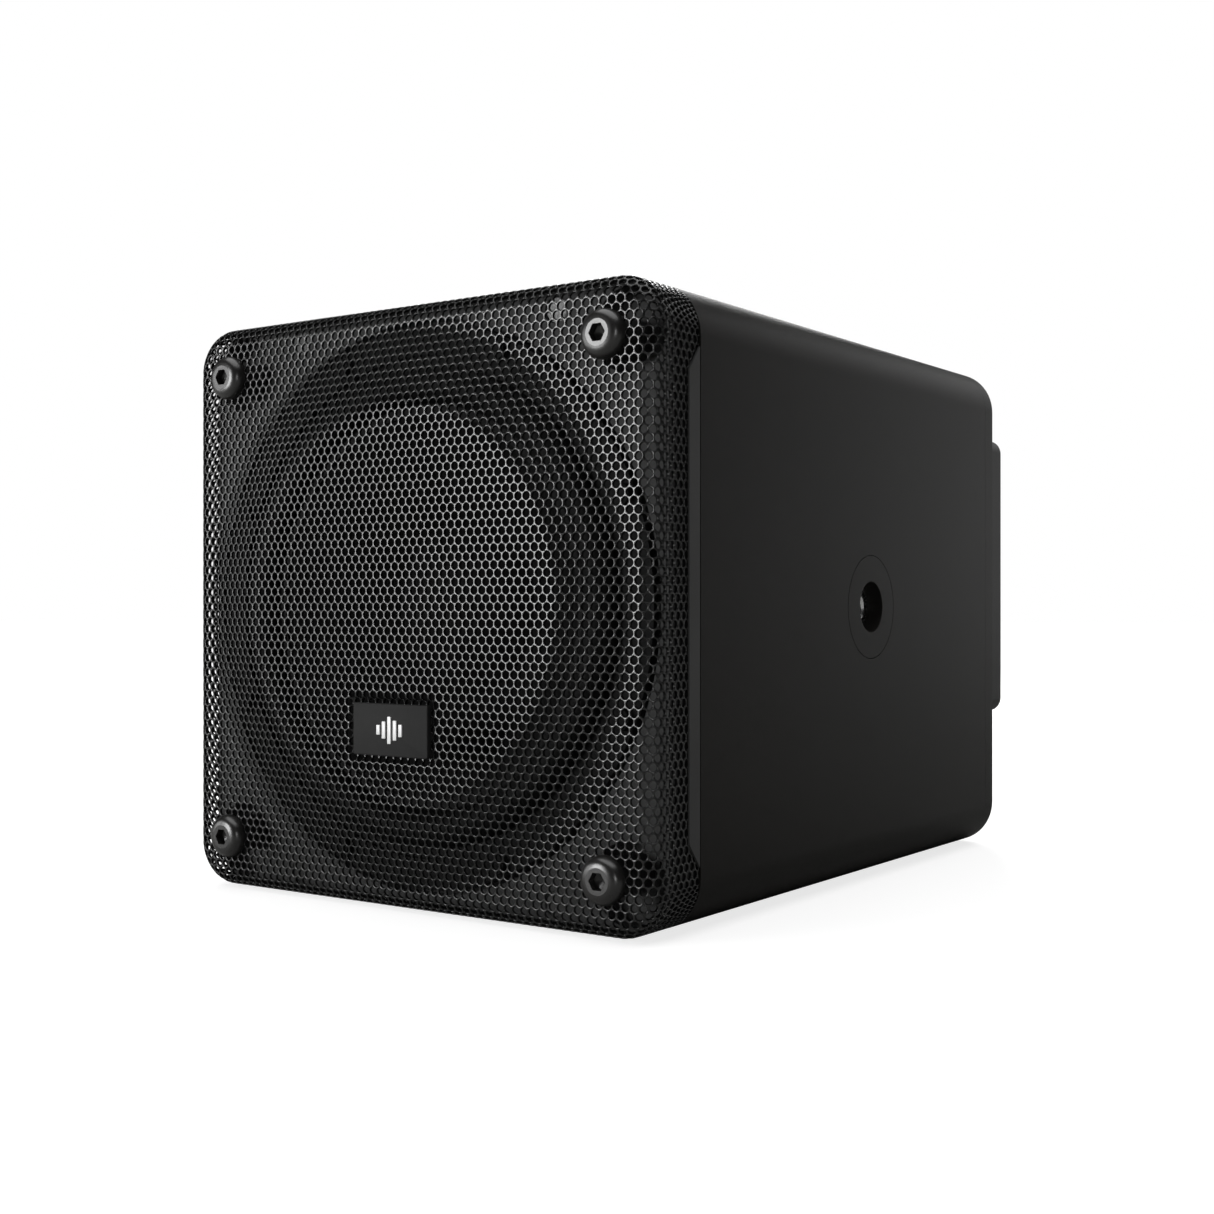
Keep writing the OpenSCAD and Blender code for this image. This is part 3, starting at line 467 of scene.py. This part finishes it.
def perforated_grille():
    """Cells share their edges; each holds rings that roll down into its hole."""
    centres = hole_centres()
    cell = hole_cell()
    spokes = cell / np.linalg.norm(cell, axis=1)[:, None]
    n, k = len(centres), len(cell)
    edge = (centres[:, None] + cell).reshape(-1, 2)
    _, first, edge_id = np.unique(
        np.round(edge, 3), axis=0, return_index=True, return_inverse=True
    )
    edge_id = edge_id.reshape(n, k)
    edge = edge[first]
    layers = [(edge, 0.0), (edge, SHEET)]
    for radius, depth in HOLE_RIM:
        layers.append(((centres[:, None] + radius * spokes).reshape(-1, 2), depth))
    points = np.concatenate([pressed(flat, depth) for flat, depth in layers])
    e = len(edge)
    own = np.arange(n * k).reshape(n, k)
    chain = [edge_id] + [own + 2 * e + level * n * k for level in range(len(HOLE_RIM))] + [edge_id + e]
    quads = []
    for a, b in zip(chain[:-1], chain[1:]):
        quads.append(np.stack([a, np.roll(a, -1, 1), np.roll(b, -1, 1), b], -1))
    quads = np.stack(quads, 1).reshape(n, -1, 4)
    p = points[quads]
    cross = np.cross(p[..., 2, :] - p[..., 0, :], p[..., 3, :] - p[..., 1, :])
    size = np.linalg.norm(cross, axis=-1)
    normals = np.zeros_like(points)
    for c in range(4):
        np.add.at(normals, quads[..., c].reshape(-1), cross.reshape(-1, 3))
    normals /= np.maximum(np.linalg.norm(normals, axis=1), 1e-9)[:, None]
    middle = points[quads[:, 0, 0]]
    group = (centres[:, 0] > 0).astype(int) + 2 * (centres[:, 1] > 0).astype(int)
    for g, word in enumerate(("low_left", "low_right", "top_left", "top_right")):
        faces = quads[group == g][size[group == g] > SMALLEST_FACE]
        used, index = np.unique(faces, return_inverse=True)
        piece = add_piece("grille_" + word, points[used], index.reshape(-1, 4).tolist())
        piece.data.normals_split_custom_set_from_vertices(normals[used].tolist())
        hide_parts("grille")
        paint(piece, "grille_paint")


perforated_grille()


# ---- corner button screws ----


def button_screw(x, z):
    """Shank, domed head, flat crown, and a six-sided socket with a drilled bottom."""
    shank_r, shank_end, head_r, head_h, crown, socket = 4.9, 14.0, 9.6, 5.3, 5.15, 3.15
    sides = 48
    profile = [(shank_r, shank_end), (shank_r, 0.0), (head_r - 0.2, 0.0), (head_r, -0.3)]
    for k in range(1, 10):
        a = math.radians(9 * k)
        r = crown + (head_r - crown) * math.cos(a) ** 0.92
        profile.append((r, -0.3 - (head_h - 0.4) * math.sin(a)))
    profile += [(crown + 0.03, -head_h + 0.02), (crown, -head_h), (crown - 0.15, -head_h)]
    rings = [circle(r, y, sides, x, z) for r, y in profile]
    for apothem, y in ((socket + 0.15, -head_h), (socket, -head_h + 0.12), (socket, -1.9)):
        rings.append(hexagon(apothem, y, sides, x, z))
    for r, y in ((2.6, -1.7), (0.3, -0.7)):
        rings.append(circle(r, y, sides, x, z))
    return loft(rings)


heads = []
for sx in (-SCREW, SCREW):
    for sz in (-SCREW, SCREW):
        heads.append(button_screw(sx, sz))
button_heads = add_piece("button_heads", *merge(heads))
fix_normals(button_heads, 14)
paint(button_heads, "black_steel")
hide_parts("grille_screws")


# ---- badge ----


BADGE_FRONT = -6.8
BADGE_BACK = -4.6
MARK_FRONT = -7.3
BAR_W, BAR_PITCH = 1.8, 3.0


def edge_rolled_plate(w, h, r, front, back, roll, x=0.0, z=0.0):
    rings = [rounded_box_ring(w, h, r, back, x, z)]
    for k in range(4):
        a = math.radians(30 * k)
        cut = roll * (1 - math.cos(a))
        inner = max(r - cut, 0.05)
        rings.append(
            rounded_box_ring(w - 2 * cut, h - 2 * cut, inner, front + roll - roll * math.sin(a), x, z)
        )
    return loft(rings)


plate = edge_rolled_plate(BADGE_W, BADGE_H, 0.9, BADGE_FRONT, BADGE_BACK, 0.45, 0, BADGE_Z)
badge = add_piece("badge_look", *plate)
fix_normals(badge, 40)
paint(badge, "badge")
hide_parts("badge_plate")

bars = []
for column, bar_h in enumerate((4.0, 7.0, 11.0, 8.0, 5.0)):
    bar_x = (column - 2) * BAR_PITCH
    bars.append(
        edge_rolled_plate(BAR_W, bar_h, 0.25, MARK_FRONT, BADGE_FRONT, 0.12, bar_x, BADGE_Z)
    )
emblem = add_piece("emblem_look", *merge(bars))
fix_normals(emblem, 40)
paint(emblem, "emblem")
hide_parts("badge_emblem")


# ---- side inserts ----

INSERT_Y = 178.5  # behind the rim
BUSH_FACE = 117.8  # the bush's outer face, from the middle plane
BUSH_R = 10.95
THREAD_R = 5.0
THREAD_PITCH = 1.5
THREAD_DEPTH = 0.42


def threaded_bush(side):
    """A bush whose bore carries a helical thread and whose mouth is rolled."""
    turns, sides, length, mouth = 12, 48, 18.0, 0.8
    steps = turns * 8
    a = np.linspace(0, 2 * np.pi, sides, endpoint=False)
    rings = []

    def ring(radius, x):
        return np.stack([x, INSERT_Y + radius * np.cos(a), radius * np.sin(a)], 1)

    for radius, out in ((BUSH_R, -length), (BUSH_R, -0.25), (6.4, 0.3), (5.6, -0.6)):
        rings.append(ring(np.full(sides, radius), np.full(sides, BUSH_FACE + out)))
    for k in range(steps + 1):
        x = BUSH_FACE - mouth - (length - mouth) * k / steps
        phase = np.mod(x / THREAD_PITCH - a / (2 * np.pi), 1.0)
        depth = THREAD_DEPTH * (1 - np.abs(2 * phase - 1) ** 1.3)
        rings.append(ring(THREAD_R + depth, np.full(sides, x)))
    points, faces = loft(rings, closed=True)
    points[:, 0] *= side
    return points, faces


for word, side in (("right", 1), ("left", -1)):
    bush = add_piece("thread_" + word, *threaded_bush(side))
    fix_normals(bush, 25)
    paint(bush, "steel")
    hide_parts("threaded_bush_" + word)
    paint(softened("side_insert_" + word, 0.3, 3), "cabinet_paint")


# ---- cabinet, baffle and rear ----

SOFT_EDGES = {  # width of the rolled edge, its segments and the finish
    "cabinet_shell": (0.45, 3, "cabinet_paint"),
    "front_baffle": (0.5, 3, "baffle"),
    "rear_panel": (0.5, 3, "cabinet_paint"),
    "heat_sink": (0.6, 2, "sink_black"),
    "control_plate": (0.35, 2, "sink_black"),
    "rocker_frame": (0.3, 2, "black_plastic"),
    "power_rocker": (0.4, 3, "black_plastic"),
    "mains_inlet": (0.35, 2, "black_plastic"),
    "input_socket": (0.3, 2, "black_plastic"),
    "link_socket": (0.3, 2, "black_plastic"),
    "gain_knob": (0.25, 2, "black_plastic"),
    "crossover_knob": (0.25, 2, "black_plastic"),
    "phase_switch_lever": (0.3, 2, "white_plastic"),
    "input_latch": (0.25, 2, "steel"),
    "driver_screws": (0.2, 2, "rubber"),
}
for node_name, (edge_width, edge_segments, edge_finish) in SOFT_EDGES.items():
    paint(softened(node_name, edge_width, edge_segments), edge_finish)
for node_name in ("rear_panel_screws", "sink_screws", "control_plate_screws", "socket_screws"):
    paint(softened(node_name, 0.2, 2), SLOTS[node_name])


# ---- driver ----

ROLL_IN, ROLL_OUT = 84.0, 100.0  # the surround's half roll
SPIDER_IN, SPIDER_OUT = 25.35, 66.5  # the spider's waves
FORMER_R, CONE_R = 25.3, 79.0
CONE_BACK, CONE_FRONT = 50.0, 14.0


def roll_profile(inner, outer, mid_y, thick, steps=24):
    """A half roll between two flat lips, bulging towards the front."""
    radius = (outer - inner) / 2
    middle = (outer + inner) / 2
    front, back = [(inner - 4.0, mid_y)], [(inner - 4.0, mid_y + thick)]
    for k in range(steps + 1):
        a = math.pi * k / steps
        front.append((middle - radius * math.cos(a), mid_y - radius * math.sin(a)))
        r = radius - thick
        back.append((middle - r * math.cos(a), mid_y + thick * 0.2 - r * math.sin(a)))
    front.append((outer + 4.0, mid_y))
    back.append((outer + 4.0, mid_y + thick))
    return front + back[::-1]


def spider_profile(inner, outer, lip, mid_y, thick, waves=5, steps=80):
    """Round waves from the coil former out, then a flat lip glued to the basket."""
    front, back = [], []
    for k in range(steps + 1):
        t = k / steps
        wave = 1.6 * math.sin(2 * math.pi * waves * t) * math.sin(math.pi * t)
        r = inner + (outer - inner) * t
        front.append((r, mid_y - thick - wave))
        back.append((r, mid_y - wave))
    front.append((lip, mid_y - thick))
    back.append((lip, mid_y))
    return front + back[::-1]


def follow_cone(piece):
    """Unparents the piece and bakes its transform into its mesh."""
    piece.parent = None
    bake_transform(piece)


roll = turned("surround_look", roll_profile(ROLL_IN, ROLL_OUT, 12.9, 1.1), None)
paint(roll, "rubber")
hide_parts("surround")
follow_cone(roll)
spider_rings = spider_profile(SPIDER_IN, SPIDER_OUT, 74.0, 62.0, 1.0)
spider = turned("spider_look", spider_rings, None, 96)
paint(spider, "spider_cloth")
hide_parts("spider")
follow_cone(spider)


def cone_profile(steps=24, thick=1.5, bulge=1.2):
    """A slightly curved cone with pressed rings, and a flat lip under the surround."""
    front, back = [], []
    for k in range(steps + 1):
        t = k / steps
        r = FORMER_R + (CONE_R - FORMER_R) * t
        y = CONE_BACK - (CONE_BACK - CONE_FRONT) * t - bulge * math.sin(math.pi * t)
        rib = 0.25 * math.sin(math.pi * t * 14) ** 2 * (0.1 < t < 0.95)
        front.append((r, y + rib))
        back.append((r, y + thick + rib))
    front.append((ROLL_IN, CONE_FRONT))
    back.append((ROLL_IN, CONE_FRONT + 1.4))
    return front + back[::-1]


paper = turned("cone_look", cone_profile(), "moving_cone", sharp=60)
paint(paper, "paper_cone")
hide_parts("cone")


# ---- stage, lights and camera ----

floor_mesh = bpy.data.meshes.new("studio_floor")
FLOOR_HALF = 12.0
floor_corners = [(sx * FLOOR_HALF, sy * FLOOR_HALF, 0) for sx, sy in ((-1, -1), (1, -1), (1, 1), (-1, 1))]
floor_mesh.from_pydata(floor_corners, [], [(0, 1, 2, 3)])
floor = bpy.data.objects.new("studio_floor", floor_mesh)
bpy.context.scene.collection.objects.link(floor)
floor.location = (0, 0, cad_low[2] - 0.0002)
floor_finish = Finish("studio_floor", grey(0.33), grey(0.36), (0.75, 0.85), 0.8, 60, 0.0)
floor_finish.shader.inputs["Emission Color"].default_value = (1, 1, 1, 1)
floor_finish.shader.inputs["Emission Strength"].default_value = 0.77
floor.data.materials.append(floor_finish.material)
floor_tree = floor_finish.material.node_tree
dim = floor_tree.nodes.new("ShaderNodeBsdfDiffuse")
dim.inputs["Color"].default_value = (0.34, 0.34, 0.33, 1)
floor_path = floor_tree.nodes.new("ShaderNodeLightPath")
floor_mix = floor_tree.nodes.new("ShaderNodeMixShader")
floor_tree.links.new(floor_path.outputs["Is Camera Ray"], floor_mix.inputs["Fac"])
floor_tree.links.new(dim.outputs["BSDF"], floor_mix.inputs[1])
floor_tree.links.new(floor_finish.shader.outputs["BSDF"], floor_mix.inputs[2])
floor_tree.links.new(floor_mix.outputs["Shader"], floor_tree.nodes["Material Output"].inputs["Surface"])

world = bpy.data.worlds.new("studio")
bpy.context.scene.world = world
world.use_nodes = True
tree = world.node_tree
seen = tree.nodes["Background"]
seen.inputs["Color"].default_value = (1, 1, 1, 1)
seen.inputs["Strength"].default_value = 1.0
fill = tree.nodes.new("ShaderNodeBackground")
fill.inputs["Color"].default_value = (0.95, 0.97, 1.0, 1)
fill.inputs["Strength"].default_value = 0.02
path = tree.nodes.new("ShaderNodeLightPath")
mix = tree.nodes.new("ShaderNodeMixShader")
tree.links.new(path.outputs["Is Camera Ray"], mix.inputs["Fac"])
tree.links.new(fill.outputs["Background"], mix.inputs[1])
tree.links.new(seen.outputs["Background"], mix.inputs[2])
tree.links.new(mix.outputs["Shader"], tree.nodes["World Output"].inputs["Surface"])


def panel(name, azimuth, elevation, distance, wide, high, radiance):
    """A soft box that faces the object; azimuth 0 is in front, 90 on the right; metres."""
    light = bpy.data.lights.new(name, "AREA")
    light.shape = "RECTANGLE"
    light.size = wide
    light.size_y = high
    light.energy = radiance * math.pi * wide * high
    lamp = bpy.data.objects.new(name, light)
    bpy.context.scene.collection.objects.link(lamp)
    a, e = math.radians(azimuth), math.radians(elevation)
    away = Vector((math.sin(a) * math.cos(e), -math.cos(a) * math.cos(e), math.sin(e)))
    lamp.location = Vector((0, 0, MID_Z * MM)) + away * distance
    lamp.rotation_euler = away.to_track_quat("Z", "Y").to_euler()
    return lamp


panel("front_left_box", -28, 6, 1.7, 0.60, 0.60, 16.0)
panel("left_box", -55, 6, 1.7, 0.50, 0.60, 4.0)
panel("camera_box", 46, 5, 2.2, 0.34, 0.34, 12.0)
panel("rear_right_box", 170, 13, 2.0, 1.0, 1.5, 1.5)
panel("rear_left_box", 214, 22, 2.2, 1.2, 1.2, 6.0)
overhead = bpy.data.lights.new("overhead", "SUN")
overhead.energy = 2.3
overhead.angle = math.radians(70)
overhead_lamp = bpy.data.objects.new("overhead", overhead)
bpy.context.scene.collection.objects.link(overhead_lamp)
overhead_lamp.location = (0, 0, 2)

CAMERA_PLACE = (0.4448, -0.66085, 0.125)
CAMERA_TURN = 34.94

camera = bpy.data.cameras.new("camera")
camera.lens = 47.57
camera.sensor_width = 36
camera_object = bpy.data.objects.new("camera", camera)
bpy.context.scene.collection.objects.link(camera_object)
camera_object.location = CAMERA_PLACE
camera_object.rotation_euler = (math.radians(90), 0, math.radians(CAMERA_TURN))
bpy.context.scene.camera = camera_object
bpy.context.scene.view_settings.view_transform = "Standard"
